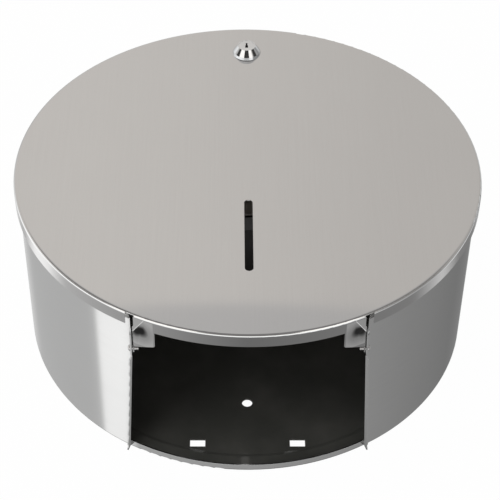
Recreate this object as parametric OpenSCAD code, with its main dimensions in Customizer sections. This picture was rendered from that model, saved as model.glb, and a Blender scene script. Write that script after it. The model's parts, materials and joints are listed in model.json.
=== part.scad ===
// Jumbo toilet roll dispenser: a stainless steel drum with a hinged, lockable front cover.
// It lies on its back: the wall is at z = 0, the front is +Z, and the paper outlet is on the -Y side.
// Sizes are in millimetres.

/* [Overall] */
// Outside diameter of the front cover
cover_d = 310; // [250:1:380]
// Depth from the wall to the front face of the cover
depth = 131; // [110:1:160]
// Thickness of the stainless steel sheet
sheet_t = 0.8; // [0.6:0.1:1.2]

/* [Cover] */
// Height of the cover's turned-down rim
rim_h = 10; // [8:0.5:13]
// Radial gap between the rim and the drum
rim_gap = 1.8; // [1.5:0.1:2.5]
// Outside radius of the bend round the cover
rim_bend = 2; // [1.5:0.1:3]
// Width of the level slot
slot_w = 5.5; // [4.5:0.5:8]
// Length of the level slot
slot_l = 66; // [40:1:80]
// Distance from the cover's centre to the near end of the slot
slot_start = 34; // [25:1:45]

/* [Paper outlet] */
// Width of the outlet at the back plate
outlet_back_w = 154.4; // [120:0.2:180]
// Width of the outlet at the hinge
outlet_front_w = 144.8; // [115:0.2:175]
// Height of the steel strip left below the outlet, at the wall
strip_h = 5.8; // [4:0.2:10]
// Radius of the drum's top corners beside the outlet
corner_r = 5.5; // [3:0.5:8]

/* [Tear lips] */
// Width of a tear lip, from the drum to the points of its teeth
lip_w = 5; // [4:0.1:7]
// Distance from one tooth to the next
tooth_pitch = 10; // [8:0.5:14]
// Depth of the notches between the teeth
tooth_depth = 1.5; // [1:0.1:2.5]
// Share of the pitch that a tooth's long flank takes
tooth_skew = 0.65; // [0.5:0.05:0.8]
// Angle by which the lips lean away from the outlet
lip_lean = 18; // [0:1:25]

/* [Hinge] */
// Distance from the front face of the cover down to the hinge axis
hinge_drop = 31; // [26:0.5:36]
// Diameter of the hinge pins
pin_d = 2.4; // [2:0.1:3.2]
// Diameter of the hinge pins' domed heads
pin_head_d = 4.4; // [4:0.1:6]
// Outside diameter of the bushes in the cover's ears
bush_d = 3.2; // [2.8:0.1:4.6]
// Length of the bushes
bush_l = 2.8; // [2.4:0.1:5]
// Width of the front plate of an ear
ear_w = 12.8; // [10:0.2:16]
// Distance that an ear reaches down from the cover's front face, at its inner edge
ear_drop = 22.3; // [18:0.1:24]
// Angle by which an ear's lower edge slopes down towards its side plate
ear_slope = 23; // [0:1:25]
// Depth of the ball that presses the dent into an ear
dent_depth = 2.4; // [1:0.1:3]

/* [Back plate] */
// Thickness of the black back plate
plate_t = 1.2; // [0.8:0.1:2]
// Width of the drum's turned-in back edge
hem_w = 9.4; // [8:0.2:14]
// Diameter of the circle of wall screws
screw_circle_d = 190; // [150:1:210]
// Diameter of the wall screw holes
screw_hole_d = 7; // [5:0.5:9]
// Distance between the centres of the two rectangular holes
window_spacing = 66; // [50:1:90]
// Width of a rectangular hole
window_w = 10; // [6:0.5:14]
// Height of a rectangular hole
window_h = 6; // [4.5:0.5:8]
// Distance from the rectangular holes' centres in to the inside of the drum
window_inset = 21.6; // [18:0.2:30]
// Diameter of the rivets that join the drum to the back plate
rivet_d = 3.2; // [2.4:0.2:4]

/* [Roll spindle] */
// Outside diameter of the sleeve that carries the roll's core
sleeve_d = 42; // [38:1:52]
// Diameter of the stop flange at the foot of the sleeve
flange_d = 54; // [50:1:60]
// Outside diameter of the fixed post
post_d = 27; // [22:1:30]
// Distance from the front face of the cover down to the top of the sleeve
sleeve_drop = 30; // [28:1:45]
// Height of the sleeve's foot above the wall
sleeve_foot = 13; // [12:0.5:18]
// Diameter of the studs that hold the post
stud_d = 4; // [3:0.5:5]
// Number of studs
studs = 3; // [3:1:4]

/* [Lock] */
// Distance from the edge of the cover in to the lock
lock_inset = 29; // [27:0.5:32]
// How far the chrome bezel's foot stands out past the lock's body
bezel_lip = 0.9; // [0.5:0.1:2]
// Height of the bezel above the cover
bezel_h = 6; // [4:0.5:8]
// Height of the steeper skirt at the bezel's foot
bezel_skirt = 1.6; // [1:0.1:2.5]
// Width of the bezel's flat ring round the plug
bezel_ring = 0.7; // [0.4:0.1:1.5]
// Diameter of the lock's threaded body
barrel_d = 18.6; // [17:0.2:19]
// Length of the lock's body behind the cover's face
barrel_l = 15; // [13:0.5:17]
// Diameter of the turning plug
plug_d = 11.2; // [9:0.2:11.6]
// Height of the keyway
key_h = 5.5; // [4.5:0.5:8]
// Width of the keyway's narrow half
key_w = 1.2; // [1:0.1:2.6]
// Distance from the lock's axis to the tip of the cam
cam_reach = 18; // [16:0.5:20]

/* [Hidden] */

$fn = 96;
eps = 0.01;
run_gap = 0.05;     // radial clearance of a pin, plug or bolt in its hole
seat_gap = 0.3;     // clearance between parts that move past each other
steel = [0.74, 0.73, 0.71];
black = [0.08, 0.08, 0.08];
chrome = [0.85, 0.86, 0.88];
zinc = [0.62, 0.63, 0.62];
nylon = [0.9, 0.9, 0.86];

// Drum and cover
cover_r = cover_d / 2;
drum_r = cover_r - sheet_t - rim_gap;
drum_in = drum_r - sheet_t;
top_gap = 1;                                // between the drum's front edge and the cover's sheet
drum_top = depth - sheet_t - top_gap;
hem_bend = 1.5;                             // outside radius of the bend at the drum's back edge
far = cover_d;                              // length of a cutter that has to reach past everything

// Hinge
hinge_z = depth - hinge_drop;
knee_x = outlet_front_w / 2;
head_gap = 0.15;                            // between the pin heads and the drum wall
hinge_y = -(sqrt(pow(drum_r, 2) - pow(knee_x + sheet_t, 2)) + pin_head_d / 2 + head_gap);
pin_head_h = 1.7;
pin_tail_h = 0.8;
tab_edge = 2.8;                             // from the hinge axis to the tab's outer edge
tab_below = 5;
tab_above = 15.5;
tab_corner = 2.5;

// Outlet and tear lips
knee_z = hinge_z - tab_below - 3.5;         // above it the outlet's sides are upright
back_x = outlet_back_w / 2;
wall_r = drum_r - sheet_t / 2;              // middle of the drum's sheet
back_y = -sqrt(pow(wall_r, 2) - pow(back_x, 2));
knee_y = -sqrt(pow(wall_r, 2) - pow(knee_x, 2));
lip_slant_x = atan((back_x - knee_x) / knee_z);
lip_slant_y = atan((back_y - knee_y) / knee_z);
lip_len = knee_z - 1;
first_tooth = 7;                            // from the wall to the first tooth's point

// Ears and the rim beside them
ear_bend = 2;                               // outside radius of an ear's bend
ear_gap = 0.9;
ear_x = knee_x - ear_gap;                   // outer face of an ear's side plate
ear_bend_x = ear_x - ear_bend;
ear_bend_y = -sqrt(pow(cover_r - ear_bend, 2) - pow(ear_bend_x, 2));
ear_front_x = cover_r * ear_bend_x / (cover_r - ear_bend);
ear_lobe_r = bush_d / 2 + 1.1;
ear_corner = 2;
ear_lap = 0.02;                             // how much thinner an ear's plates are than its bend
ear_lap_l = 0.15;                           // length of the plates' ends inside the bend
ear_low = depth - ear_drop - ear_w * tan(ear_slope);
ear_side_top = depth - rim_h - 1.7;         // an ear is joined to the rim by its front plate only
rim_end_x = ear_bend_x + 0.4;               // end of the rim's middle part
rim_cut_x = knee_x + sheet_t + 2.3;         // start of the rim's long part
relief_r = cover_r - sheet_t - 0.1;         // edge of the cover's face between the two
dent_r = 13.5;                              // radius of the dent's round edge
dent_x = ear_x + 0.5;
dent_z = depth - 12;
dent_ball_r = (pow(dent_r, 2) + pow(dent_depth, 2)) / (2 * dent_depth);
fold_x = ear_x - 3.9;                       // middle of the fold that ends the dent above
fold_z = depth - 7.6;
fold_turn = 31;
fold_lean = 68;
ridge_x = ear_x - 1.3;                      // upper end of the ridge that ends the dent beside the bend
ridge_z = depth - 12.3;
ridge_turn = -10;
ridge_lean = 50;

// Back plate
step_l = 3;                                 // length of the step that lifts the plate's edge over the hem
step_skew = 0.4;                            // how far the step's front corners lag behind its back ones
hem_in = drum_r - hem_w;
plate_r = drum_r - hem_bend - 0.2;
plate_flat_r = hem_in - step_l;
window_y = -(drum_in - window_inset);
rivet_circle_r = (hem_in + plate_r) / 2;
rivet_seat = sheet_t + plate_t;
rivet_head_d = 2 * rivet_d;
rivet_top_d = 1.2 * rivet_d;
rivet_head_h = 1;

// Spindle
post_foot_t = 4;
post_foot_z = plate_t + post_foot_t;
post_wall = 3;
post_cap = 16;                              // thickness of the post's solid end
shoulder_r = post_d / 2 + 3.5;
shoulder_top = sleeve_foot - 1;
washer_t = 0.8;
washer_edge = 0.9;                          // steel or plastic left beside a washer
stud_top = shoulder_top - 1.5;
stud_washer_r = stud_d / 2 + 2.1;
stud_circle_r = shoulder_r + washer_edge + stud_washer_r;
post_foot_r = stud_circle_r + stud_washer_r + washer_edge;
stud_nut_af = stud_d * 1.75;
stud_nut_h = stud_d * 0.8;
sleeve_top = depth - sleeve_drop;
sleeve_land_r = post_d / 2 + 0.08;          // the sleeve runs on the post at its two ends
sleeve_relief_r = sleeve_land_r + 2.4;
sleeve_chamfer = 3;                         // taper of the sleeve's nose
land_l = 8;
nose_l = 9;
flange_t = 2.5;
post_top = sleeve_top + 0.6;
screw_d = 5;
screw_l = 14;
screw_head_d = 9.2;
screw_head_top_d = 7.4;
screw_head_h = 3;
screw_cross_w = 1;
sleeve_washer_t = 1.5;
sleeve_washer_r = post_d / 2 + 3.5;
thrust_gap = 0.1;

// Lock
lock_y = cover_r - lock_inset;
barrel_flat = barrel_d - 2;
bezel_d = barrel_d + 2 * bezel_lip;
bezel_top_d = plug_d + 2 * bezel_ring;
skirt_in = 0.7;                             // how far the skirt's top lies in from its foot
bore_r = plug_d / 2 + run_gap;
lock_washer_r = barrel_d / 2 + 3;
lock_nut_h = 3.5;
lock_nut_af = barrel_d + 3.4;
plug_top = depth + bezel_h - 0.1;
plug_tail = 6;
key_step = 0.4;                             // how much wider the keyway's lower half is, on each side
key_depth = 9;
stop_t = 0.8;
stop_r = 7.5;
stop_top = depth - barrel_l - 1.5;          // rear end of the plug's round part
cam_t = 2.2;
cam_w = 12;
cam_top = stop_top - stop_t;
cam_bottom = cam_top - cam_t;
cam_bolt_d = 5;
cam_bolt_out = 1;                           // bolt left past the cam's nut
cam_nut_af = 8;
cam_nut_h = 3.5;
cam_washer_r = 5;
strike_t = 1.2;
strike_bend = 2.4;
strike_z = cam_top + 0.5;                   // rear face of the strike's lip
strike_in = lock_y + barrel_d / 2 + 3;
strike_out = drum_in - 0.1;
strike_angle = 9;
strike_leg = 14;

// L-shaped section with a round bend. The outer corner is at the origin.
module bent_section(reach, height, t, r) {
    difference() {
        union() {
            translate([-reach, 0]) square([reach - r, t]);
            translate([-t, r]) square([t, height - r]);
            intersection() {
                translate([-r, r]) circle(r);
                translate([-r, 0]) square(r);
            }
        }
        translate([-r, r]) circle(r - t);
    }
}

// Plate whose outline is drawn in the Y-Z plane, from x to x + t
module side_plate(x, t) {
    translate([x, 0, 0]) rotate([90, 0, 90]) linear_extrude(t) children();
}

// Prism whose outline is drawn in the X-Z plane, which runs from y = 0 out through the outlet
module front_prism() {
    rotate([90, 0, 0]) linear_extrude(far) children();
}

module round_slot(w, l, h) {
    translate([-w / 2, w / 2, 0]) cube([w, l - w, h]);
    for (y = [w / 2, l - w / 2]) translate([0, y, 0]) cylinder(d = w, h = h);
}

module ring(r_in, r_out, h) {
    difference() {
        cylinder(r = r_out, h = h);
        translate([0, 0, -1]) cylinder(r = r_in, h = h + 2);
    }
}

module hex_nut(af, bolt_r, h) {
    difference() {
        cylinder(d = af / cos(30), h = h, $fn = 6);
        translate([0, 0, -1]) cylinder(r = bolt_r, h = h + 2);
    }
}

// Both sides of the outlet, from the piece on the right
module both_sides() {
    children();
    mirror([1, 0, 0]) children();
}

module at_hinge(x) {
    translate([x, hinge_y, hinge_z]) rotate([0, 90, 0]) children();
}

module at_studs() {
    for (i = [0 : studs - 1]) rotate([0, 0, 90 + i * 360 / studs])
        translate([stud_circle_r, 0, 0]) children();
}

// ---- Housing ----

module back_plate() {
    step_out = hem_in - step_skew;
    color(black) difference() {
        rotate_extrude() polygon([[0, 0], [plate_flat_r, 0], [step_out, sheet_t], [plate_r, sheet_t],
            [plate_r, rivet_seat], [step_out - step_skew, rivet_seat], [plate_flat_r - step_skew, plate_t],
            [0, plate_t]]);
        for (a = [0 : 90 : 270]) rotate([0, 0, a]) translate([screw_circle_d / 2, 0, -1])
            cylinder(d = screw_hole_d, h = plate_t + 2);
        both_sides() translate([(window_spacing - window_w) / 2, window_y - window_h / 2, -1])
            cube([window_w, window_h, plate_t + 2]);
        rivet_holes();
    }
}

// Every sixth of a turn, but for the place beside the outlet
module at_rivets() {
    for (a = [30, 90, 150, 210, 330]) rotate([0, 0, a]) translate([rivet_circle_r, 0, 0]) children();
}

module rivet_holes() {
    at_rivets() translate([0, 0, -1]) cylinder(r = rivet_d / 2 + run_gap, h = rivet_seat + 2);
}

// Outline of the outlet seen from the front, with the drum's rounded corners beside it
module outlet_outline() {
    x_front = knee_x + sheet_t / 2;
    x_strip = x_front + (back_x - knee_x) * (1 - strip_h / knee_z);
    above = drum_top + 1;
    polygon([[-x_strip, strip_h], [x_strip, strip_h], [x_front, knee_z], [x_front, above],
        [-x_front, above], [-x_front, knee_z]]);
    both_sides() translate([x_front, drum_top - corner_r]) difference() {
        translate([-eps, 0]) square([corner_r + eps, corner_r + 1]);
        translate([corner_r, 0]) circle(corner_r);
    }
}

// Reach of a tear lip at the height z: teeth with a long flank above the point and a short one below
function lip_edge(z) =
    let (turns = (z - first_tooth) / tooth_pitch)
    let (part = turns - floor(turns))
    lip_w - tooth_depth * min(part / tooth_skew, (1 - part) / (1 - tooth_skew));

// Outline of a lip: u runs out from the drum, z along it
module lip_outline() {
    last = ceil((lip_len - first_tooth) / tooth_pitch);
    corners = [for (i = [-1 : last]) for (step = [0, tooth_skew]) first_tooth + (i + step) * tooth_pitch];
    heights = concat(0, [for (z = corners) if (z > 0 && z < lip_len) z], lip_len);
    polygon(concat([[0, 0]], [for (z = heights) [lip_edge(z), z]], [[0, lip_len]]));
}

module tear_lip() {
    difference() {
        translate([back_x, back_y, 0]) rotate([lip_slant_y, -lip_slant_x, 0]) rotate([0, 0, lip_lean])
            mirror([0, 1, 0]) side_plate(0, sheet_t) lip_outline();
        cylinder(r = drum_in, h = depth);
        translate([-far, -far, -far]) cube([2 * far, 2 * far, far]);
    }
}

module hinge_tab() {
    low = hinge_z - tab_below;
    high = hinge_z + tab_above;
    front = hinge_y - tab_edge;
    difference() {
        side_plate(knee_x, sheet_t) {
            translate([front + tab_corner, low]) square([knee_y - front, high - low]);
            translate([front, low + tab_corner]) square([tab_corner + eps, high - low - 2 * tab_corner]);
            for (z = [low + tab_corner, high - tab_corner])
                translate([front + tab_corner, z]) circle(tab_corner);
        }
        cylinder(r = drum_in, h = depth);
        at_hinge(0) cylinder(r = pin_d / 2 + run_gap, h = far);
    }
}

module drum_wall() {
    color(steel) {
        difference() {
            rotate_extrude() translate([drum_r, 0]) bent_section(hem_w, drum_top, sheet_t, hem_bend);
            front_prism() outlet_outline();
            rivet_holes();
        }
        both_sides() {
            tear_lip();
            hinge_tab();
        }
    }
}

module rim_rivets() {
    color(zinc) at_rivets() {
        cylinder(d = rivet_d, h = rivet_seat + eps);
        translate([0, 0, rivet_seat]) cylinder(d1 = rivet_head_d, d2 = rivet_top_d, h = rivet_head_h);
    }
}

module hinge_pin() {
    r = pin_head_d / 2;
    ball = (r * r + pin_head_h * pin_head_h) / (2 * pin_head_h);
    tail = knee_x - seat_gap - bush_l - seat_gap;
    seat = knee_x + sheet_t;
    color(steel) at_hinge(0) rotate_extrude() {
        translate([0, tail - pin_tail_h]) square([bush_d / 2, pin_tail_h]);
        translate([0, tail - eps]) square([pin_d / 2, seat - tail + 2 * eps]);
        intersection() {
            translate([0, seat + pin_head_h - ball]) circle(ball);
            translate([0, seat]) square([r, pin_head_h]);
        }
    }
}

module hinge_pin_left() {
    mirror([1, 0, 0]) hinge_pin();
}

module hinge_pin_right() {
    hinge_pin();
}

module strike() {
    color(zinc) rotate([0, 0, 90 - strike_angle / 2]) rotate_extrude(angle = strike_angle)
        translate([strike_out, strike_z + strike_t]) mirror([0, 1])
            bent_section(strike_out - strike_in, strike_leg, strike_t, strike_bend);
}

// ---- Roll spindle ----

module spindle_studs() {
    color(zinc) at_studs() translate([0, 0, plate_t]) cylinder(d = stud_d, h = stud_top - plate_t);
}

module spindle_post() {
    inner = post_d / 2 - post_wall;
    screw_r = screw_d / 2 + run_gap;
    color(black) difference() {
        rotate_extrude() polygon([[inner, plate_t], [post_foot_r, plate_t], [post_foot_r, post_foot_z],
            [shoulder_r, post_foot_z], [shoulder_r, shoulder_top], [post_d / 2, shoulder_top],
            [post_d / 2, post_top], [screw_r, post_top], [screw_r, post_top - post_cap],
            [inner, post_top - post_cap]]);
        at_studs() cylinder(r = stud_d / 2 + run_gap, h = shoulder_top);
    }
}

module spindle_washers() {
    color(zinc) at_studs() translate([0, 0, post_foot_z]) ring(stud_d / 2 + run_gap, stud_washer_r, washer_t);
}

module spindle_nuts() {
    color(zinc) at_studs() translate([0, 0, post_foot_z + washer_t])
        hex_nut(stud_nut_af, stud_d / 2 + run_gap, stud_nut_h);
}

module thrust_washer() {
    color(nylon) translate([0, 0, shoulder_top])
        ring(post_d / 2 + run_gap, shoulder_r - 0.5, sleeve_foot - shoulder_top - thrust_gap);
}

module core_sleeve() {
    r = sleeve_d / 2;
    slope = sleeve_relief_r - sleeve_land_r;
    flange_top = sleeve_foot + flange_t;
    color(black) rotate_extrude() polygon([[sleeve_land_r, sleeve_foot], [flange_d / 2, sleeve_foot],
        [flange_d / 2, flange_top], [r, flange_top], [r, sleeve_top - nose_l],
        [r - sleeve_chamfer, sleeve_top], [sleeve_land_r, sleeve_top],
        [sleeve_land_r, sleeve_top - land_l], [sleeve_relief_r, sleeve_top - land_l - slope],
        [sleeve_relief_r, sleeve_foot + land_l + slope], [sleeve_land_r, sleeve_foot + land_l]]);
}

module sleeve_washer() {
    color(zinc) translate([0, 0, post_top]) ring(screw_d / 2 + run_gap, sleeve_washer_r, sleeve_washer_t);
}

module sleeve_screw() {
    seat = post_top + sleeve_washer_t;
    color(zinc) difference() {
        union() {
            translate([0, 0, seat - screw_l]) cylinder(d = screw_d, h = screw_l + eps);
            translate([0, 0, seat]) cylinder(d1 = screw_head_d, d2 = screw_head_top_d, h = screw_head_h);
        }
        for (a = [0, 90]) rotate([0, 0, a])
            translate([-screw_d / 2, -screw_cross_w / 2, seat + screw_head_h / 2])
                cube([screw_d, screw_cross_w, screw_head_h]);
    }
}

// ---- Cover ----

// Where the rim is cut away on each side of its middle part
module rim_cut() {
    intersection() {
        difference() {
            translate([0, 0, depth - 2 * rim_h]) cylinder(r = cover_r + 1, h = 3 * rim_h);
            cylinder(r = relief_r, h = 2 * depth);
        }
        translate([rim_end_x, -far, 0]) cube([rim_cut_x - rim_end_x, far, 2 * depth]);
    }
}

// Outline of an ear's front plate in the X-Z plane, with a round corner at its inner edge
module ear_outline() {
    inner = ear_front_x - ear_w;
    outer = ear_front_x + 1;
    top = depth - rim_bend;
    steps = 6;
    low = depth - ear_drop - ear_corner * tan(ear_slope) + ear_corner / cos(ear_slope);
    corner = [for (i = [0 : steps]) let (a = 180 + (90 - ear_slope) * i / steps)
        [inner + ear_corner * (1 + cos(a)), low + ear_corner * sin(a)]];
    polygon(concat(corner, [[outer, ear_low - tan(ear_slope)], [outer, top], [inner, top]]));
}

module ear_front() {
    limit = atan2(ear_bend_x, -ear_bend_y) + ear_lap_l / cover_r * 180 / PI;
    intersection() {
        translate([0, 0, ear_low - 1])
            ring(cover_r - sheet_t + ear_lap, cover_r - ear_lap, ear_drop + ear_w);
        front_prism() ear_outline();
        translate([0, 0, ear_low - 2]) linear_extrude(ear_drop + ear_w)
            polygon([[0, 0], [far * tan(limit), -far], [0, -far]]);
    }
}

module ear_bend_sheet() {
    intersection() {
        translate([ear_bend_x, ear_bend_y, ear_low])
            ring(ear_bend - sheet_t, ear_bend, ear_side_top - ear_low);
        translate([0, 0, ear_low - 1]) linear_extrude(ear_drop + ear_w) polygon([[ear_bend_x, ear_bend_y],
            [2 * ear_bend_x, 2 * ear_bend_y], [4 * ear_bend_x, ear_bend_y]]);
    }
}

module ear_side() {
    front = ear_bend_y - ear_lap_l;
    difference() {
        side_plate(ear_x - sheet_t + ear_lap, sheet_t - 2 * ear_lap) {
            translate([hinge_y, hinge_z]) circle(ear_lobe_r);
            translate([front, hinge_z]) square([hinge_y + ear_lobe_r - front, ear_side_top - hinge_z]);
        }
        at_hinge(0) cylinder(r = bush_d / 2 + run_gap, h = far);
    }
}

// Everything on the inner side of a slanting plane that crosses the rim at x, z
module pressed_side(x, z, turn, lean, grow) {
    size = 4 * dent_r;
    rotate([0, 0, asin(x / cover_r)]) translate([0, -cover_r, z])
        rotate([0, -turn, 0]) rotate([0, 0, lean])
            translate([grow - size, -size / 2, -size / 2]) cube(size);
}

// Space of the dent in an ear: a shallow ball that ends at a slanting fold and at a ridge beside the bend.
// Grown by one sheet it gives the dent's inner face.
module dent(grow) {
    side = asin(dent_x / cover_r);
    reach = cover_r + dent_ball_r - dent_depth;
    top = depth - rim_bend - 0.4 + grow / 2;
    intersection() {
        translate([reach * sin(side), -reach * cos(side), dent_z]) sphere(dent_ball_r + grow);
        pressed_side(fold_x, fold_z, fold_turn, fold_lean, grow);
        pressed_side(ridge_x, ridge_z, ridge_turn, ridge_lean, grow);
        translate([0, -far, top - far]) cube(far);
    }
}

module ear() {
    ear_front();
    ear_bend_sheet();
    ear_side();
    intersection() {
        dent(sheet_t);
        translate([0, 0, ear_low]) cylinder(r = cover_r - ear_lap, h = ear_drop + ear_w);
        front_prism() ear_outline();
    }
}

// The lock's hole has two flats, as its body does
module lock_hole() {
    loose = 2 * run_gap;
    translate([0, lock_y, depth]) intersection() {
        cylinder(d = barrel_d + 2 * loose, h = 4 * sheet_t, center = true);
        cube([barrel_flat + 2 * loose, 2 * barrel_d, 8 * sheet_t], center = true);
    }
}

module cover_shell() {
    difference() {
        rotate_extrude() intersection() {
            translate([cover_r, depth]) mirror([0, 1]) bent_section(cover_r, rim_h, sheet_t, rim_bend);
            square([cover_r + 1, depth + 1]);  // nothing may lie past the axis, whatever the rounding
        }
        translate([0, -slot_start - slot_l, depth - 2 * sheet_t]) round_slot(slot_w, slot_l, 4 * sheet_t);
        lock_hole();
        both_sides() rim_cut();
    }
}

module cover() {
    color(steel) difference() {
        union() {
            cover_shell();
            both_sides() ear();
        }
        both_sides() dent(0);
    }
}

module hinge_bush() {
    color(zinc) at_hinge(knee_x - seat_gap - bush_l) ring(pin_d / 2 + run_gap, bush_d / 2, bush_l);
}

module hinge_bush_left() {
    mirror([1, 0, 0]) hinge_bush();
}

module hinge_bush_right() {
    hinge_bush();
}

// ---- Lock ----

module at_lock(z) {
    translate([0, lock_y, z]) children();
}

module lock_body() {
    color(chrome) at_lock(depth) {
        rotate_extrude() polygon([[bore_r, 0], [bezel_d / 2, 0], [bezel_d / 2 - skirt_in, bezel_skirt],
            [bezel_top_d / 2, bezel_h], [bore_r, bezel_h]]);
        difference() {
            intersection() {
                translate([0, 0, -barrel_l]) cylinder(d = barrel_d, h = barrel_l + eps);
                cube([barrel_flat, 2 * barrel_d, 3 * barrel_l], center = true);
            }
            translate([0, 0, -barrel_l - 1]) cylinder(r = bore_r, h = barrel_l + 2);
        }
    }
}

module lock_washer() {
    color(zinc) at_lock(depth - sheet_t - washer_t) ring(barrel_d / 2 + run_gap, lock_washer_r, washer_t);
}

module lock_nut() {
    color(zinc) at_lock(depth - sheet_t - washer_t - lock_nut_h)
        hex_nut(lock_nut_af, barrel_d / 2 + run_gap, lock_nut_h);
}

module lock_plug() {
    bolt_end = cam_bottom - washer_t - cam_nut_h - cam_bolt_out;
    key_low = plug_top - key_depth;
    lower_w = key_w + 2 * key_step;
    color(chrome) at_lock(0) difference() {
        union() {
            translate([0, 0, stop_top]) cylinder(d = plug_d, h = plug_top - stop_top);
            translate([-plug_tail / 2, -plug_tail / 2, cam_bottom + 0.1])
                cube([plug_tail, plug_tail, stop_top - cam_bottom]);
            translate([0, 0, bolt_end]) cylinder(d = cam_bolt_d, h = cam_bottom + 1 - bolt_end);
        }
        translate([-key_w / 2, -key_h / 2, key_low]) cube([key_w, key_h, key_depth + 1]);
        translate([-lower_w / 2, -key_h / 2, key_low]) cube([lower_w, key_h / 2, key_depth + 1]);
    }
}

// A hole that fits the plug's square tail
module tail_hole(h) {
    side = plug_tail + 2 * run_gap;
    translate([0, 0, h / 2]) cube([side, side, h + 2], center = true);
}

module stop_washer() {
    color(zinc) at_lock(cam_top) difference() {
        cylinder(r = stop_r, h = stop_t);
        tail_hole(stop_t);
    }
}

// The cam points along +X when the lock is open and turns to +Y, behind the strike
module lock_cam() {
    color(zinc) at_lock(cam_bottom) difference() {
        union() {
            cylinder(d = cam_w, h = cam_t);
            translate([0, -cam_w / 2, 0]) cube([cam_reach - cam_w / 2, cam_w, cam_t]);
            translate([cam_reach - cam_w / 2, 0, 0]) cylinder(d = cam_w, h = cam_t);
        }
        tail_hole(cam_t);
    }
}

module cam_washer() {
    color(zinc) at_lock(cam_bottom - washer_t) ring(cam_bolt_d / 2 + run_gap, cam_washer_r, washer_t);
}

module cam_nut() {
    color(zinc) at_lock(cam_bottom - washer_t - cam_nut_h)
        hex_nut(cam_nut_af, cam_bolt_d / 2 + run_gap, cam_nut_h);
}

back_plate();
drum_wall();
rim_rivets();
hinge_pin_left();
hinge_pin_right();
strike();
spindle_studs();
spindle_post();
spindle_washers();
spindle_nuts();
thrust_washer();
sleeve_washer();
sleeve_screw();
core_sleeve();
cover();
hinge_bush_left();
hinge_bush_right();
lock_body();
lock_washer();
lock_nut();
lock_plug();
stop_washer();
lock_cam();
cam_washer();
cam_nut();
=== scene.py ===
# Looks of a jumbo toilet roll dispenser: brushed steel drum and cover, black back plate, chrome lock.
# Metres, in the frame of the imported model: wall at z = 0, cover at the top, paper outlet towards -Y.
import json
import math

import bpy
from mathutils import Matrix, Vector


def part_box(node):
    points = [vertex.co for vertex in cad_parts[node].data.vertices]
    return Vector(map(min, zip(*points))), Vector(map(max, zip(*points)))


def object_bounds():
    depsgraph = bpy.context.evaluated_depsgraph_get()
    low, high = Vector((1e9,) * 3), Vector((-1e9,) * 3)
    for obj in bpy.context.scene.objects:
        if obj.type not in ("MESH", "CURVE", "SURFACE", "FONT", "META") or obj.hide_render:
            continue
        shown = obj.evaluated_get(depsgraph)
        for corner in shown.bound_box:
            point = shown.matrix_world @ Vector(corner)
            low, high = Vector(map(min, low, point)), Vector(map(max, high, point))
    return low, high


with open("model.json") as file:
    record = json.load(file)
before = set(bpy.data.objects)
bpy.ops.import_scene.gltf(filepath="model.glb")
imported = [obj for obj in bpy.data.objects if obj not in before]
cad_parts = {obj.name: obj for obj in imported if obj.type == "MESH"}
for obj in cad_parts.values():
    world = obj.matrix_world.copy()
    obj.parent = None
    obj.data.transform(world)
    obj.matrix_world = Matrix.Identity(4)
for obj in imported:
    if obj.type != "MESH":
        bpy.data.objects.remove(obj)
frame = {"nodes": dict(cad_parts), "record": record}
cadLow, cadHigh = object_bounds()
bpy.ops.object.select_all(action="DESELECT")
scene = bpy.context.scene
scene.view_settings.view_transform = "Standard"

drumLow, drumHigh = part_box("drum_wall")
coverLow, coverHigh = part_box("cover")
coverRadius = (coverHigh.x - coverLow.x) / 2
frontZ = coverHigh.z

cameraSettings = {
    "place": (-0.01344, -0.80885, 0.82396),
    "turn": (46.401, -0.624, -0.514),  # degrees about X, Y, Z
    "lens": 115.2, "sensor": 36, "near": 0.01,
}


def addCamera(settings):
    data = bpy.data.cameras.new("mainCamera")
    data.lens = settings["lens"]
    data.sensor_width = settings["sensor"]
    data.clip_start = settings["near"]
    cameraObject = bpy.data.objects.new("mainCamera", data)
    cameraObject.location = settings["place"]
    cameraObject.rotation_euler = [math.radians(a) for a in settings["turn"]]
    scene.collection.objects.link(cameraObject)
    scene.camera = cameraObject


addCamera(cameraSettings)
print("camera placed")


def newMaterial(name):
    material = bpy.data.materials.new(name)
    material.use_nodes = True
    tree = material.node_tree
    shader = tree.nodes["Principled BSDF"]
    return material, tree, shader


def addNode(tree, kind, **values):
    node = tree.nodes.new(kind)
    for key, value in values.items():
        setattr(node, key, value)
    return node


def mathNode(tree, operation, first, second=0.0):
    node = addNode(tree, "ShaderNodeMath", operation=operation)
    for socket, value in zip(node.inputs, (first, second)):
        if isinstance(value, (int, float)):
            socket.default_value = value
        else:
            tree.links.new(value, socket)
    return node.outputs[0]


def mapRange(tree, value, fromLow, fromHigh, toLow, toHigh):
    node = addNode(tree, "ShaderNodeMapRange")
    tree.links.new(value, node.inputs["Value"])
    for socket, number in zip(node.inputs[1:5], (fromLow, fromHigh, toLow, toHigh)):
        socket.default_value = number
    return node.outputs[0]


def noiseAt(tree, vector, scale, detail=2.0, rough=0.5):
    # scale is three numbers: how many features per metre along each axis
    mapping = addNode(tree, "ShaderNodeMapping")
    mapping.inputs["Scale"].default_value = scale
    tree.links.new(vector, mapping.inputs["Vector"])
    noise = addNode(tree, "ShaderNodeTexNoise")
    noise.inputs["Scale"].default_value = 1
    noise.inputs["Detail"].default_value = detail
    noise.inputs["Roughness"].default_value = rough
    tree.links.new(mapping.outputs[0], noise.inputs["Vector"])
    return noise.outputs["Fac"]


def colourMix(tree, factor, first, second):
    # first and second are colours, or the outputs of other nodes
    mix = addNode(tree, "ShaderNodeMix", data_type="RGBA")
    tree.links.new(factor, mix.inputs["Factor"])
    for socket, colour in zip(mix.inputs[6:8], (first, second)):
        if isinstance(colour, tuple):
            socket.default_value = (*colour, 1)
        else:
            tree.links.new(colour, socket)
    return mix.outputs[2]


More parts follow.
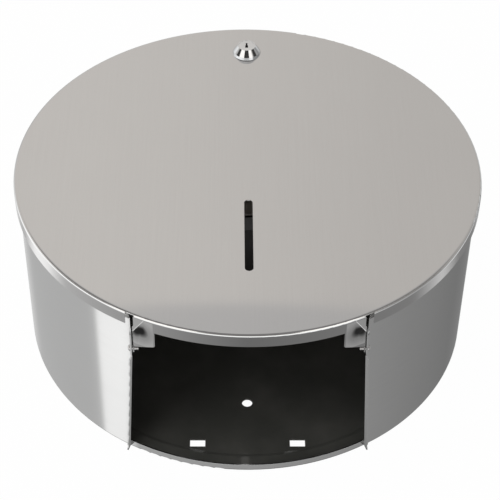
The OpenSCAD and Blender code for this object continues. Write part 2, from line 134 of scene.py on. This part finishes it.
def mapBetween(tree, factor, first, second):
    mix = addNode(tree, "ShaderNodeMix", data_type="FLOAT")
    tree.links.new(factor, mix.inputs[0])
    tree.links.new(first, mix.inputs[2])
    mix.inputs[3].default_value = second
    return mix.outputs[0]


def objectPlace(tree):
    return addNode(tree, "ShaderNodeTexCoord").outputs["Object"]


def splitVector(tree, vector):
    split = addNode(tree, "ShaderNodeSeparateXYZ")
    tree.links.new(vector, split.inputs[0])
    return split.outputs[0], split.outputs[1], split.outputs[2]


def joinVector(tree, *parts):
    join = addNode(tree, "ShaderNodeCombineXYZ")
    for part, socket in zip(parts, join.inputs):
        tree.links.new(part, socket)
    return join.outputs[0]


def lengthOf(tree, first, second):
    square = mathNode(tree, "ADD", mathNode(tree, "MULTIPLY", first, first),
                      mathNode(tree, "MULTIPLY", second, second))
    return mathNode(tree, "SQRT", square)


def roundPlace(tree, radius):
    # Unrolls the drum: X is the length along the circumference, Y the radius, Z the height
    x, y, z = splitVector(tree, objectPlace(tree))
    angle = mathNode(tree, "ARCTAN2", x, y)
    return joinVector(tree, mathNode(tree, "MULTIPLY", angle, radius), lengthOf(tree, x, y), z)


def allOf(tree, *tests):
    result = tests[0]
    for test in tests[1:]:
        result = mathNode(tree, "MULTIPLY", result, test)
    return result


def between(tree, value, low, high):
    return allOf(tree, mathNode(tree, "GREATER_THAN", value, low), mathNode(tree, "LESS_THAN", value, high))


def toWorld(tree, direction):
    turn = addNode(tree, "ShaderNodeVectorTransform", vector_type="NORMAL", convert_from="OBJECT", convert_to="WORLD")
    tree.links.new(direction, turn.inputs[0])
    unit = addNode(tree, "ShaderNodeVectorMath", operation="NORMALIZE")
    tree.links.new(turn.outputs[0], unit.inputs[0])
    return unit.outputs[0]


def faceNormal(tree):
    return addNode(tree, "ShaderNodeNewGeometry").outputs["Normal"]


def dotProduct(tree, first, second):
    dot = addNode(tree, "ShaderNodeVectorMath", operation="DOT_PRODUCT")
    tree.links.new(first, dot.inputs[0])
    tree.links.new(second, dot.inputs[1])
    return dot.outputs["Value"]


def normalMix(tree, factor, first, second):
    mix = addNode(tree, "ShaderNodeMix", data_type="VECTOR")
    tree.links.new(factor, mix.inputs["Factor"])
    tree.links.new(first, mix.inputs[4])
    tree.links.new(second, mix.inputs[5])
    return mix.outputs[1]


def roundedNormal(tree, radius):
    bevel = addNode(tree, "ShaderNodeBevel", samples=4)
    bevel.inputs["Radius"].default_value = radius
    return bevel.outputs[0]


def addBump(tree, shader, height, strength, distance, facing):
    bump = addNode(tree, "ShaderNodeBump")
    bump.inputs["Strength"].default_value = strength
    bump.inputs["Distance"].default_value = distance
    tree.links.new(height, bump.inputs["Height"])
    tree.links.new(facing, bump.inputs["Normal"])
    tree.links.new(bump.outputs[0], shader.inputs["Normal"])
    return bump.outputs[0]


def addRoughness(tree, shader, value, span, settings, polished=True):
    # The high end of the value's span is the polished one, or the dull one if polished is false
    low, high = settings["roughness"] - settings["spread"], settings["roughness"] + settings["spread"]
    ends = (high, low) if polished else (low, high)
    tree.links.new(mapRange(tree, value, *span, *ends), shader.inputs["Roughness"])


edgeWear = {"turn": (0.05, 0.4), "patch": (260, 260, 260), "patchRange": (0.3, 0.6), "least": 0.3}


def edgeMask(tree, radius, settings):
    # 1 along sharp outer edges and 0 on the flats, broken up a little as real wear is
    turned = mathNode(tree, "SUBTRACT", 1.0, dotProduct(tree, roundedNormal(tree, radius), faceNormal(tree)))
    patches = noiseAt(tree, objectPlace(tree), settings["patch"], detail=3)
    rubbed = mapRange(tree, patches, *settings["patchRange"], settings["least"], 1)
    return allOf(tree, mapRange(tree, turned, *settings["turn"], 0, 1), rubbed)


# The smooth round bend between a disc and the wall that goes round it. The draft turns the wall's skin up a
# little, slack is how far the mesh's flats lie inside the true bend, and skin is how thin the outer skin is.
coverBend = {
    "radius": coverRadius, "height": frontZ, "bend": 0.002, "side": 1.0, "draft": 7.0, "slack": 0.0004,
    # the last three keys on the next line place the band of painted highlight on the bend
    "skin": 0.0001, "leastOut": 0.00001, "highlightLow": 0.25, "highlightHigh": (0.6, 0.78), "highlightOut": 0.3,
}
drumBend = dict(coverBend, radius=(drumHigh.x - drumLow.x) / 2, height=drumLow.z, bend=0.0015, side=-1.0, draft=0.0)


def bendPlace(tree, settings):
    # A point's place, its distance from the axis and how far out and up it is from the bend's centre line
    x, y, z = splitVector(tree, objectPlace(tree))
    reach = lengthOf(tree, x, y)
    out = mathNode(tree, "SUBTRACT", reach, settings["radius"] - settings["bend"])
    up = mathNode(tree, "MULTIPLY", mathNode(tree, "SUBTRACT", z, settings["height"]), settings["side"])
    return x, y, reach, out, mathNode(tree, "ADD", up, settings["bend"])


def bendNormal(tree, facing, settings):
    # Facing of an exact round bend, used on the outer skin only
    x, y, reach, out, up = bendPlace(tree, settings)
    bend = settings["bend"]
    out = mathNode(tree, "MAXIMUM", out, 0.0)
    up = mathNode(tree, "MAXIMUM", up, 0.0)
    skin = mathNode(tree, "ADD", lengthOf(tree, out, up), mathNode(tree, "MINIMUM", up, settings["slack"]))
    onSkin = allOf(tree, mathNode(tree, "GREATER_THAN", skin, bend - settings["skin"]),
                   mathNode(tree, "GREATER_THAN", out, settings["leastOut"]))
    tilt = mathNode(tree, "MAXIMUM", up, bend * math.tan(math.radians(settings["draft"])))
    share = mathNode(tree, "DIVIDE", out, reach)
    exact = joinVector(tree, mathNode(tree, "MULTIPLY", x, share), mathNode(tree, "MULTIPLY", y, share),
                       mathNode(tree, "MULTIPLY", tilt, settings["side"]))
    return normalMix(tree, onSkin, facing, toWorld(tree, exact))


def bendHighlight(tree, settings):
    # Painted highlight: 1 along the middle of the round bend, where its bright line falls
    out, up = bendPlace(tree, settings)[3:]
    bend = settings["bend"]
    start, stop = settings["highlightHigh"]
    return allOf(tree, mapRange(tree, up, 0.0, settings["highlightLow"] * bend, 0, 1),
                 mapRange(tree, up, start * bend, stop * bend, 1, 0),
                 mathNode(tree, "GREATER_THAN", out, settings["highlightOut"] * bend))


# Each hinge ear's front: a fold line across its outer upper corner and a pressed hollow below it. Places are
# the distance from the middle plane and the height, tilts are in degrees and up is positive, and a turnIn
# under 1 turns the front towards the middle plane.
earShape = {
    "inner": 0.0585, "outer": 0.0712, "low": 0.1065, "high": 0.1287, "depth": (-0.0001, 0.0033), "outward": 0.3,
    "lineTop": (0.0645, 0.12805), "lineEnd": (0.0709, 0.1170), "lineHalf": 0.00018, "lineTilt": 18.0,
    "turnIn": 0.75, "topTilt": 2.5, "hollow": (0.0672, 0.1178), "hollowNear": 0.0010, "hollowFar": 0.0095,
    "hollowTilt": -8.0, "restTilt": 2.0,
    # the next line is painted shade in the hollow: where it is darkest, where it fades out, its share and colour
    "shadeNear": 0.001, "shadeFar": 0.011, "shadeMost": 0.9, "paintedShade": (0.2, 0.2, 0.195),
}


def earPlaces(tree, settings):
    # Whether a point is on an ear's front, its offset from the fold line and how far it is from the hollow
    x, y, z = splitVector(tree, objectPlace(tree))
    across = mathNode(tree, "ABSOLUTE", x)
    depth = mathNode(tree, "SUBTRACT", coverRadius, lengthOf(tree, x, y))
    outward = dotProduct(tree, toWorld(tree, joinVector(tree, x, y)), faceNormal(tree))
    inside = allOf(tree, between(tree, across, settings["inner"], settings["outer"]),
                   between(tree, z, settings["low"], settings["high"]), between(tree, depth, *settings["depth"]),
                   mathNode(tree, "LESS_THAN", y, 0.0),
                   mathNode(tree, "GREATER_THAN", outward, settings["outward"]))
    (topX, topZ), (endX, endZ) = settings["lineTop"], settings["lineEnd"]
    length = math.hypot(endX - topX, endZ - topZ)
    outX, outZ = (topZ - endZ) / length, (endX - topX) / length
    offset = mathNode(tree, "ADD", mathNode(tree, "MULTIPLY", across, outX), mathNode(tree, "MULTIPLY", z, outZ))
    offset = mathNode(tree, "SUBTRACT", offset, topX * outX + topZ * outZ)
    hollowX, hollowZ = settings["hollow"]
    away = lengthOf(tree, mathNode(tree, "SUBTRACT", across, hollowX), mathNode(tree, "SUBTRACT", z, hollowZ))
    return x, y, inside, offset, away


def earNormal(tree, facing, settings):
    x, y, inside, offset, away = earPlaces(tree, settings)
    hollow, rest, corner, line = [math.tan(math.radians(settings[tilt]))
                                  for tilt in ("hollowTilt", "restTilt", "topTilt", "lineTilt")]
    half = settings["lineHalf"]
    tilt = mapRange(tree, away, settings["hollowNear"], settings["hollowFar"], hollow, rest)
    tilt = mapBetween(tree, mathNode(tree, "GREATER_THAN", offset, half), tilt, corner)
    tilt = mapBetween(tree, between(tree, offset, -half, half), tilt, line)
    pressed = joinVector(tree, mathNode(tree, "MULTIPLY", x, settings["turnIn"]), y,
                         mathNode(tree, "MULTIPLY", tilt, coverRadius))
    return normalMix(tree, inside, facing, toWorld(tree, pressed))


def earHollowShade(tree, settings):
    # Painted shade in the pressed hollow, up to the fold line, darkest near the hollow's middle
    inside, offset, away = earPlaces(tree, settings)[2:]
    paintedShade = mapRange(tree, away, settings["shadeNear"], settings["shadeFar"], settings["shadeMost"], 0)
    return allOf(tree, inside, mathNode(tree, "LESS_THAN", offset, -settings["lineHalf"]), paintedShade)


coverSteel = {
    # the third colour here is a painted highlight along the round bend
    "colour": (0.675, 0.67, 0.665), "shade": (0.65, 0.645, 0.64), "wornAndBendHighlight": (0.93, 0.93, 0.925),
    "rubbed": (0.82, 0.815, 0.81), "roughness": 0.07, "spread": 0.009, "anisotropic": 1.0,
    "grain": (1800, 18, 18), "cloud": (14, 14, 14), "grainShare": 0.65, "toneRange": (0.3, 0.7),
    "edge": 0.0002, "wearEdge": 0.0003, "bump": 0.02, "bumpDepth": 0.0001, "bend": coverBend, "ear": earShape,
}
drumSteel = dict(
    coverSteel, colour=(0.68, 0.68, 0.675), shade=(0.64, 0.64, 0.635), wornAndBendHighlight=(0.72, 0.72, 0.715),
    rubbed=(0.82, 0.82, 0.815), roughness=0.10, spread=0.02, anisotropic=0.7, grain=(22, 2000, 2000),
    bend=drumBend, ear=None,
)


def brushedSteel(name, settings, unrolled):
    material, tree, shader = newMaterial(name)
    place = roundPlace(tree, coverRadius) if unrolled else objectPlace(tree)
    grain = noiseAt(tree, place, settings["grain"], detail=4, rough=0.7)
    cloud = noiseAt(tree, place, settings["cloud"], detail=3)
    tone = mathNode(tree, "ADD", mathNode(tree, "MULTIPLY", grain, settings["grainShare"]),
                    mathNode(tree, "MULTIPLY", cloud, 1 - settings["grainShare"]))
    tone = mapRange(tree, tone, *settings["toneRange"], 0, 1)
    colour = colourMix(tree, tone, settings["shade"], settings["colour"])
    colour = colourMix(tree, edgeMask(tree, settings["wearEdge"], edgeWear), colour, settings["rubbed"])
    # painted highlight along the round bend
    colour = colourMix(tree, bendHighlight(tree, settings["bend"]), colour, settings["wornAndBendHighlight"])
    facing = bendNormal(tree, roundedNormal(tree, settings["edge"]), settings["bend"])
    ear = settings["ear"]
    if ear:
        # painted shade darkening the pressed hollow
        colour = colourMix(tree, earHollowShade(tree, ear), colour, ear["paintedShade"])
        facing = earNormal(tree, facing, ear)
    tree.links.new(colour, shader.inputs["Base Color"])
    addRoughness(tree, shader, tone, (0, 1), settings)
    shader.inputs["Metallic"].default_value = 1
    shader.inputs["Anisotropic"].default_value = settings["anisotropic"]
    # The tangent lies across the grain: upright on the drum, from side to side on the cover
    across = addNode(tree, "ShaderNodeVectorTransform", vector_type="VECTOR", convert_from="OBJECT",
                     convert_to="WORLD")
    across.inputs[0].default_value = (0, 0, 1) if unrolled else (1, 0, 0)
    tree.links.new(across.outputs[0], shader.inputs["Tangent"])
    addBump(tree, shader, grain, settings["bump"], settings["bumpDepth"], facing)
    return material


chromePlate = {
    "colour": (0.80, 0.81, 0.82), "haze": (0.74, 0.75, 0.76), "rubbed": (0.86, 0.87, 0.88), "roughness": 0.07,
    "spread": 0.03, "hazeScale": (180, 180, 180), "hazeRange": (0.35, 0.65), "scratch": (60, 3000, 900),
    "scratchRange": (0.3, 0.7), "edge": 0.00012, "wearEdge": 0.0002, "bump": 0.02, "bumpDepth": 0.00005,
}
zincPlate = dict(
    chromePlate, colour=(0.68, 0.68, 0.66), haze=(0.52, 0.54, 0.55), rubbed=(0.78, 0.78, 0.77), roughness=0.34,
    spread=0.1, scratch=(900, 900, 900), edge=0.00015, bump=0.12,
)
pinSteel = dict(
    chromePlate, colour=(0.70, 0.69, 0.68), haze=(0.56, 0.55, 0.54), rubbed=(0.8, 0.79, 0.78), roughness=0.2,
    spread=0.06, scratch=(1500, 1500, 1500), edge=0.00015, bump=0.06,
)
rivetMetal = dict(
    chromePlate, colour=(0.72, 0.73, 0.74), haze=(0.58, 0.59, 0.60), rubbed=(0.8, 0.81, 0.82), roughness=0.36,
    spread=0.08, scratch=(1200, 1200, 1200), edge=0.0002, bump=0.15,
)

# Painted shade in the keyway and the gap round the plug, growing from the first to the full depth below its top
plugDepthShade = {"colour": (0.02, 0.019, 0.017), "top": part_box("lock_plug")[1].z, "unshadedDepth": 0.0001, "fullShadeDepth": 0.0007}

# Rolled threads: their pitch, the height they end at and how steep the flanks are
barrelThread = {"pitch": 0.0010, "top": frontZ - 0.0009, "steep": 0.7}
studThread = dict(barrelThread, pitch=0.0008, top=frontZ)


def depthShadeMask(tree, settings):
    # Painted shade: 1 from the full depth below the top downwards, 0 above the first depth
    height = splitVector(tree, objectPlace(tree))[2]
    return mapRange(tree, height, settings["top"] - settings["fullShadeDepth"], settings["top"] - settings["unshadedDepth"], 1, 0)


def threadHeight(tree, settings):
    z = splitVector(tree, objectPlace(tree))[2]
    flank = mathNode(tree, "MULTIPLY", mathNode(tree, "PINGPONG", z, settings["pitch"] / 2), settings["steep"])
    return mathNode(tree, "MULTIPLY", flank, mathNode(tree, "LESS_THAN", z, settings["top"]))


def platedMetal(name, settings, paintedShade=None, thread=None):
    material, tree, shader = newMaterial(name)
    place = objectPlace(tree)
    haze = noiseAt(tree, place, settings["hazeScale"], detail=4)
    scratch = noiseAt(tree, place, settings["scratch"], detail=3, rough=0.6)
    tone = mapRange(tree, haze, *settings["hazeRange"], 0, 1)
    colour = colourMix(tree, tone, settings["haze"], settings["colour"])
    colour = colourMix(tree, edgeMask(tree, settings["wearEdge"], edgeWear), colour, settings["rubbed"])
    if paintedShade:
        # painted shade deep in the plug
        colour = colourMix(tree, depthShadeMask(tree, paintedShade), colour, paintedShade["colour"])
    tree.links.new(colour, shader.inputs["Base Color"])
    addRoughness(tree, shader, scratch, settings["scratchRange"], settings)
    shader.inputs["Metallic"].default_value = 1
    edge = roundedNormal(tree, settings["edge"])
    facing = addBump(tree, shader, scratch, settings["bump"], settings["bumpDepth"], edge)
    if thread:
        addBump(tree, shader, threadHeight(tree, thread), 1, 1, facing)
    return material


plateBlack = {
    "colour": (0.074, 0.075, 0.069), "wornAndBendHighlight": (0.105, 0.105, 0.097), "rubbed": (0.10, 0.10, 0.095),
    "roughness": 0.065, "spread": 0.02, "cloud": (22, 22, 22), "wornRange": (0.4, 0.7), "dullRange": (0.3, 0.7),
    "peel": (1400, 1400, 1400), "specular": 0.5, "edge": 0.0002, "wearEdge": 0.0003, "bump": 0.03,
    "bumpDepth": 0.00005, "upLight": None,
}
plasticBlack = dict(
    plateBlack, colour=(0.0200, 0.0178, 0.0162), wornAndBendHighlight=(0.031, 0.0285, 0.0265), rubbed=(0.045, 0.045, 0.046),
    roughness=0.46, spread=0.08, peel=(2600, 2600, 2600), specular=0.45, edge=0.0004, bump=0.2,
)
nylonWhite = dict(
    plateBlack, colour=(0.72, 0.71, 0.66), wornAndBendHighlight=(0.60, 0.585, 0.53), rubbed=(0.78, 0.77, 0.73),
    roughness=0.42, spread=0.06, peel=(1800, 1800, 1800), bump=0.1,
)
# A pale colour on the faces that look up: painted light on the tops of the dim sleeve washer and screw
upFaceLight = {"colour": (0.62, 0.56, 0.50), "upward": 0.7, "patchRange": (0.2, 0.6), "least": 0.75}
phosphateSteel = dict(
    plateBlack, colour=(0.13, 0.12, 0.11), wornAndBendHighlight=(0.16, 0.15, 0.135), rubbed=(0.16, 0.15, 0.14),
    roughness=0.62, spread=0.08, peel=(2400, 2400, 2400), specular=0.4, edge=0.00015, bump=0.15, upLight=upFaceLight,
)


def upFaceLightMask(tree, patches, settings):
    # Painted light: 1 on the faces that look up, a little less between the patches
    topFace = mathNode(tree, "GREATER_THAN", splitVector(tree, faceNormal(tree))[2], settings["upward"])
    return allOf(tree, topFace, mapRange(tree, patches, *settings["patchRange"], settings["least"], 1))


def coatedMaterial(name, settings):
    material, tree, shader = newMaterial(name)
    place = objectPlace(tree)
    cloud = noiseAt(tree, place, settings["cloud"], detail=4)
    peel = noiseAt(tree, place, settings["peel"], detail=2)
    tone = mapRange(tree, cloud, *settings["wornRange"], 0, 1)
    colour = colourMix(tree, tone, settings["colour"], settings["wornAndBendHighlight"])
    upLight = settings["upLight"]
    if upLight:
        # painted light on the faces that look up
        colour = colourMix(tree, upFaceLightMask(tree, cloud, upLight), colour, upLight["colour"])
    colour = colourMix(tree, edgeMask(tree, settings["wearEdge"], edgeWear), colour, settings["rubbed"])
    tree.links.new(colour, shader.inputs["Base Color"])
    addRoughness(tree, shader, cloud, settings["dullRange"], settings, polished=False)
    shader.inputs["Specular IOR Level"].default_value = settings["specular"]
    edge = roundedNormal(tree, settings["edge"])
    addBump(tree, shader, peel, settings["bump"], settings["bumpDepth"], edge)
    return material


finishes = {
    "cover_steel": brushedSteel("coverSteel", coverSteel, False),
    "drum_steel": brushedSteel("drumSteel", drumSteel, True),
    "hinge_steel": platedMetal("pinSteel", pinSteel),
    "lock_chrome": platedMetal("chromePlate", chromePlate, thread=barrelThread),
    "plug_chrome": platedMetal("plugChrome", chromePlate, plugDepthShade),
    "zinc_steel": platedMetal("zincPlate", zincPlate),
    "rivets": platedMetal("rivetMetal", rivetMetal),
    "back_plate": coatedMaterial("plateBlack", plateBlack),
    "black_plastic": coatedMaterial("postBlack", plasticBlack),
    "sleeve_plastic": coatedMaterial("sleeveBlack", plasticBlack),
    "washer_plastic": coatedMaterial("nylonWhite", nylonWhite),
}
phosphated = coatedMaterial("phosphateSteel", phosphateSteel)
ownFinish = {  # finishes of single nodes, before their slot's finish
    "sleeve_washer": phosphated, "sleeve_screw": phosphated,
    "spindle_studs": platedMetal("studZinc", zincPlate, thread=studThread),
}


def dressNodes():
    slots = {part["node"]: part["material_slot"] for part in frame["record"]["subparts"]}
    for name, node in frame["nodes"].items():
        node.data.materials.clear()
        node.data.materials.append(ownFinish.get(name, finishes[slots[name]]))


dressNodes()
print("materials assigned")

studio = {
    "floorSize": 6.0, "floorDrop": 0.0004, "floorColour": (0.9, 0.9, 0.9), "floorRoughness": 0.8,
    "floorGlow": 0.985,  # the share of its own light that the camera sees
    "keyPlace": (-0.9, -0.5, 1.6), "keySize": 1.4, "keyWatts": 12,
}


def addFloor(settings):
    bpy.ops.mesh.primitive_plane_add(size=settings["floorSize"], location=(0, 0, cadLow[2] - settings["floorDrop"]))
    floor = bpy.context.object
    floor.name = "studioFloor"
    material, tree, shader = newMaterial("floorWhite")
    shader.inputs["Base Color"].default_value = (*settings["floorColour"], 1)
    shader.inputs["Roughness"].default_value = settings["floorRoughness"]
    rays = addNode(tree, "ShaderNodeLightPath")
    glow = addNode(tree, "ShaderNodeEmission")
    glow.inputs["Color"].default_value = (1, 1, 1, 1)
    clear = addNode(tree, "ShaderNodeBsdfTransparent")
    mixGlow = addNode(tree, "ShaderNodeMixShader")
    glowShare = mathNode(tree, "MULTIPLY", rays.outputs["Is Camera Ray"], settings["floorGlow"])
    tree.links.new(glowShare, mixGlow.inputs[0])
    tree.links.new(shader.outputs[0], mixGlow.inputs[1])
    tree.links.new(glow.outputs[0], mixGlow.inputs[2])
    mixClear = addNode(tree, "ShaderNodeMixShader")
    tree.links.new(rays.outputs["Is Glossy Ray"], mixClear.inputs[0])
    tree.links.new(mixGlow.outputs[0], mixClear.inputs[1])
    tree.links.new(clear.outputs[0], mixClear.inputs[2])
    tree.links.new(mixClear.outputs[0], tree.nodes["Material Output"].inputs[0])
    floor.data.materials.append(material)


# The studio that the metal mirrors: light and dark panels in bands from under the table up. Turn 0 faces the
# outlet, 0.25 is the object's right and -0.25 its left, and every pair is a turn and its brightness.
studioBands = {
    "underTable": [(-0.5, 0.22), (-0.25, 0.2), (-0.15, 0.06), (0.15, 0.06), (0.25, 0.2), (0.5, 0.22)],
    # the lowest part of the walls and the strip below the outlet
    "lowTable": [(-0.5, 0.85), (-0.4, 0.54), (-0.25, 0.6), (-0.235, 0.65), (-0.23, 1.25), (-0.192, 1.3),
                 (-0.186, 0.55), (0.0, 0.5), (0.2, 0.34), (0.38, 0.22), (0.44, 0.24), (0.5, 0.85)],
    # walls: one tall white panel at the front left, fading to grey on the right
    "nearTable": [(-0.5, 0.85), (-0.4, 0.54), (-0.25, 0.6), (-0.235, 0.65), (-0.23, 1.25), (-0.174, 1.3),
                  (-0.168, 0.55), (0.0, 0.5), (0.2, 0.34), (0.38, 0.22), (0.44, 0.24), (0.5, 0.85)],
    # rim: a bright panel on the left and a smaller one on the right
    "midTable": [(-0.5, 0.95), (-0.44, 0.95), (-0.37, 0.55), (-0.33, 1.25), (-0.3, 1.2), (-0.26, 0.6), (-0.12, 0.38),
                 (0.0, 0.2), (0.23, 0.28), (0.285, 0.75), (0.33, 0.28), (0.38, 0.28), (0.44, 0.8), (0.5, 0.92)],
    "farTable": [(-0.5, 0.85), (-0.44, 0.5), (-0.38, 0.45), (-0.34, 1.0), (-0.28, 0.8), (0.1, 0.95), (0.21, 0.4),
                 (0.26, 0.45), (0.29, 0.95), (0.36, 0.4), (0.42, 0.4), (0.5, 0.85)],
    "horizon": [(-0.5, 0.8), (-0.42, 0.6), (-0.3, 1.1), (0.12, 1.1), (0.15, 0.3), (0.32, 0.3), (0.38, 0.7),
                (0.5, 0.8)],
    "low": [(-0.5, 0.74), (-0.3, 0.76), (-0.25, 0.45), (-0.2, 0.45), (-0.17, 0.8), (-0.065, 0.8), (-0.05, 0.35),
            (0.05, 0.35), (0.065, 0.8), (0.14, 0.8), (0.17, 0.4), (0.3, 0.4), (0.34, 0.55), (0.5, 0.74)],
    # two white panels with dark gaps beside and between them, which the lock's cone mirrors
    "sideLow": [(-0.5, 0.735), (-0.48, 0.775), (-0.265, 0.76), (-0.243, 0.05), (-0.174, 0.05), (-0.17, 1.3),
                (-0.063, 1.3), (-0.06, 0.35), (0.062, 0.35), (0.065, 1.3), (0.139, 1.3), (0.143, 0.05), (0.248, 0.05),
                (0.27, 0.5), (0.475, 0.66), (0.5, 0.735)],
    "side": [(-0.5, 0.735), (-0.48, 0.775), (-0.28, 0.76), (-0.19, 0.6), (-0.17, 1.3), (-0.063, 1.3), (-0.06, 0.04),
             (0.062, 0.04), (0.065, 1.3), (0.139, 1.3), (0.155, 0.55), (0.285, 0.5), (0.475, 0.66), (0.5, 0.735)],
    "top": [(-0.5, 0.735), (-0.48, 0.775), (-0.4, 0.7), (-0.35, 0.25), (0.3, 0.25), (0.38, 0.6), (0.475, 0.66),
            (0.5, 0.735)],
    "lid": [(-0.5, 0.6), (-0.48, 0.625), (-0.4, 0.6), (-0.35, 0.25), (0.3, 0.25), (0.38, 0.5), (0.475, 0.565),
            (0.5, 0.6)],
    # heights of the seams between the bands on a ball of radius 1, and half the width of each seam
    "seams": [(-0.81, 0.03), (-0.766, 0.005), (-0.65, 0.008), (-0.47, 0.02), (-0.21, 0.03), (0.17, 0.03),
              (0.3, 0.02), (0.455, 0.008), (0.6, 0.01), (0.7135, 0.0015)],
    "tint": (1.0, 1.0, 1.0), "highTint": (1.0, 0.963, 0.925), "lidTint": (1.0, 0.985, 0.975),
    "tintRange": (0.1, 0.4),
}


def studioCurve(tree, turn, tones):
    # Brightness over the turn, made of straight stretches
    node = addNode(tree, "ShaderNodeFloatCurve")
    top = 2.0
    points = node.mapping.curves[0].points
    points[0].location = (0, tones[0][1] / top)
    points[1].location = (1, tones[-1][1] / top)
    for place, tone in tones[1:-1]:
        points.new(place + 0.5, tone / top)
    for point in points:
        point.handle_type = "VECTOR"
    node.mapping.update()
    tree.links.new(turn, node.inputs["Value"])
    return mathNode(tree, "MULTIPLY", node.outputs[0], top)


def addWorld(settings):
    world = bpy.data.worlds.new("studioWorld")
    scene.world = world
    world.use_nodes = True
    tree = world.node_tree
    ground = tree.nodes["Background"]
    x, y, z = splitVector(tree, addNode(tree, "ShaderNodeTexCoord").outputs["Generated"])
    angle = mathNode(tree, "ARCTAN2", x, mathNode(tree, "MULTIPLY", y, -1.0))
    turn = mathNode(tree, "ADD", mathNode(tree, "MULTIPLY", angle, 1 / math.tau), 0.5)
    tone = studioCurve(tree, turn, settings["underTable"])
    names = ("lowTable", "nearTable", "midTable", "farTable", "horizon", "low", "sideLow", "side", "top", "lid")
    for name, (edge, soft) in zip(names, settings["seams"]):
        above = mapRange(tree, z, edge - soft, edge + soft, 0, 1)
        mix = addNode(tree, "ShaderNodeMix", data_type="FLOAT")
        tree.links.new(above, mix.inputs[0])
        tree.links.new(tone, mix.inputs[2])
        tree.links.new(studioCurve(tree, turn, settings[name]), mix.inputs[3])
        tone = mix.outputs[0]
    high = mapRange(tree, z, *settings["tintRange"], 0, 1)
    colour = colourMix(tree, high, settings["tint"], settings["highTint"])
    # the last seam's mask marks the lid
    tree.links.new(colourMix(tree, above, colour, settings["lidTint"]), ground.inputs["Color"])
    rays = addNode(tree, "ShaderNodeLightPath")
    tree.links.new(mapBetween(tree, rays.outputs["Is Camera Ray"], tone, 1), ground.inputs["Strength"])


def addKeyLamp(settings):
    data = bpy.data.lights.new("keyLamp", "AREA")
    data.size = settings["keySize"]
    data.energy = settings["keyWatts"]
    lamp = bpy.data.objects.new("keyLamp", data)
    lamp.location = settings["keyPlace"]
    lamp.rotation_euler = (-lamp.location).to_track_quat("-Z", "Y").to_euler()
    lamp.visible_camera = False
    lamp.visible_glossy = False
    scene.collection.objects.link(lamp)


addFloor(studio)
addWorld(studioBands)
addKeyLamp(studio)
print("studio ready")
